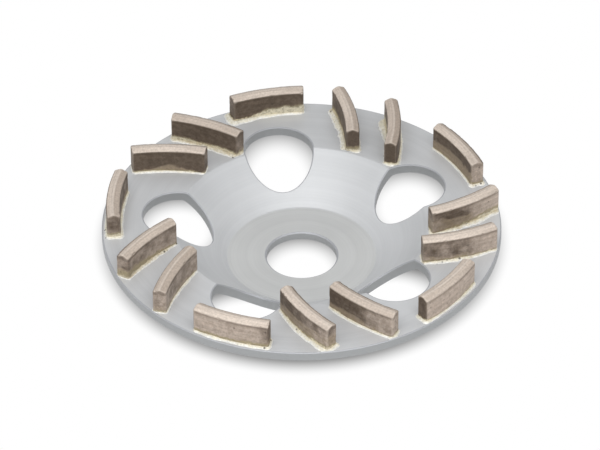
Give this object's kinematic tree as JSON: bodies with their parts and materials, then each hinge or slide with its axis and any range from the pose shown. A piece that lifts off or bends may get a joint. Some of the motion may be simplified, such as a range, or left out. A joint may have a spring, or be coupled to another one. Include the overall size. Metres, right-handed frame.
{
  "type": "diamond cup wheel",
  "caption": "Dished steel grinding wheel with a plain bore, round dust holes and curved sintered segments brazed round its rim.",
  "frame": {"origin": "centre of the hub's back face, on the bore's axis", "axes": "+Z along the bore towards the segments; +X through the first round hole"},
  "size_m": [0.125, 0.125, 0.0244],
  "materials": {
    "steel": "satin, finely turned",
    "sintered_bronze": "dull, ground on top, heat-stained on the sides",
    "braze": "dull, uneven bead"
  },
  "bodies": {
    "root": {"cup_body": "steel", "segment_01": "sintered_bronze", "segment_02": "sintered_bronze", "segment_03": "sintered_bronze", "segment_04": "sintered_bronze", "segment_05": "sintered_bronze", "segment_06": "sintered_bronze", "segment_07": "sintered_bronze", "segment_08": "sintered_bronze", "segment_09": "sintered_bronze", "segment_10": "sintered_bronze", "segment_11": "sintered_bronze", "segment_12": "sintered_bronze", "segment_13": "sintered_bronze", "segment_14": "sintered_bronze", "segment_15": "sintered_bronze", "braze_01": "braze", "braze_02": "braze", "braze_03": "braze", "braze_04": "braze", "braze_05": "braze", "braze_06": "braze", "braze_07": "braze", "braze_08": "braze", "braze_09": "braze", "braze_10": "braze", "braze_11": "braze", "braze_12": "braze", "braze_13": "braze", "braze_14": "braze", "braze_15": "braze"}
  },
  "joints": []
}
